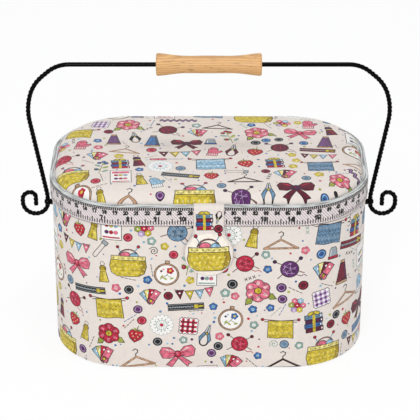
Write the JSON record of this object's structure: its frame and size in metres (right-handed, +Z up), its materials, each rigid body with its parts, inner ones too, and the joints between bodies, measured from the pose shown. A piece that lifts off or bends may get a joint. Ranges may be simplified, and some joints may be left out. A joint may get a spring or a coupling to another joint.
{
  "type": "sewing box",
  "caption": "Fabric-covered sewing box with a padded hinged lid, a lift-out tray, a closure tab and an iron bail handle with a turned wooden grip.",
  "frame": {"origin": "centre of the base, on the surface that the box stands on", "axes": "+X along the box to the viewer's right, -Y towards the front with the closure tab, +Z up"},
  "size_m": [0.3726, 0.2071, 0.2896],
  "materials": {
    "card": "matt grey board",
    "print_fabric": "printed cotton, cream ground",
    "lining_fabric": "plain cream cotton",
    "base_felt": "plain grey cloth",
    "foam_pad": "soft wadding",
    "satin_trim": "pale grey satin, gathered",
    "tape_ribbon": "twill ribbon printed with a measuring scale",
    "pincushion_fabric": "grey-blue satin, stuffed",
    "tray_plastic": "milky moulded plastic",
    "black_iron": "gloss black enamel",
    "grip_wood": "clear-lacquered beech",
    "magnet_steel": "plated magnet"
  },
  "bodies": {
    "box": {"base_fabric": "base_felt", "base_board": "card", "wall_board": "card", "body_cover": "print_fabric", "body_lining": "lining_fabric", "base_lining": "lining_fabric", "body_magnet": "magnet_steel", "hinge_strip_lower": "print_fabric", "tray_ledge_left": "card", "pivot_bolt_left": "black_iron", "pivot_spacer_left": "black_iron", "pivot_washer_left": "black_iron", "pivot_nut_left": "black_iron", "tray_ledge_right": "card", "pivot_bolt_right": "black_iron", "pivot_spacer_right": "black_iron", "pivot_washer_right": "black_iron", "pivot_nut_right": "black_iron"},
    "tray": {"tray": "tray_plastic"},
    "lid": {"lid_rim": "card", "hinge_strip_upper": "print_fabric", "lid_board": "card", "lid_pad": "foam_pad", "lid_cover": "print_fabric", "lid_trim": "satin_trim", "tape_ribbon": "tape_ribbon", "lid_lining": "lining_fabric", "pincushion": "pincushion_fabric", "tab_anchor": "print_fabric"},
    "tab": {"tab_board": "card", "tab_cover": "print_fabric", "tab_lining": "lining_fabric", "tab_magnet": "magnet_steel"},
    "handle": {"handle_rod": "black_iron"},
    "grip": {"grip": "grip_wood"}
  },
  "joints": [
    {"name": "lid_open", "type": "hinge", "parent": "box", "child": "lid", "pos_m": [0, 0.1005, 0.1564], "axis": [-1, 0, 0], "range_deg": [0, 95]},
    {"name": "handle_swing", "type": "hinge", "parent": "box", "child": "handle", "pos_m": [0, 0, 0.1323], "axis": [-1, 0, 0], "range_deg": [0, 128]},
    {"name": "tab_lift", "type": "hinge", "parent": "lid", "child": "tab", "pos_m": [0, -0.1009, 0.1763], "axis": [-1, 0, 0], "range_deg": [0, 90]},
    {"name": "tray_lift", "type": "slide", "parent": "box", "child": "tray", "axis": [0, 0, 1], "range_m": [0, 0.018]},
    {"name": "grip_spin", "type": "hinge", "parent": "handle", "child": "grip", "pos_m": [0, 0, 0.2787], "axis": [1, 0, 0], "continuous": true}
  ],
  "couplings": [
    {"joint": "handle_swing", "follows": "lid_open", "ratio": 1.347}
  ]
}
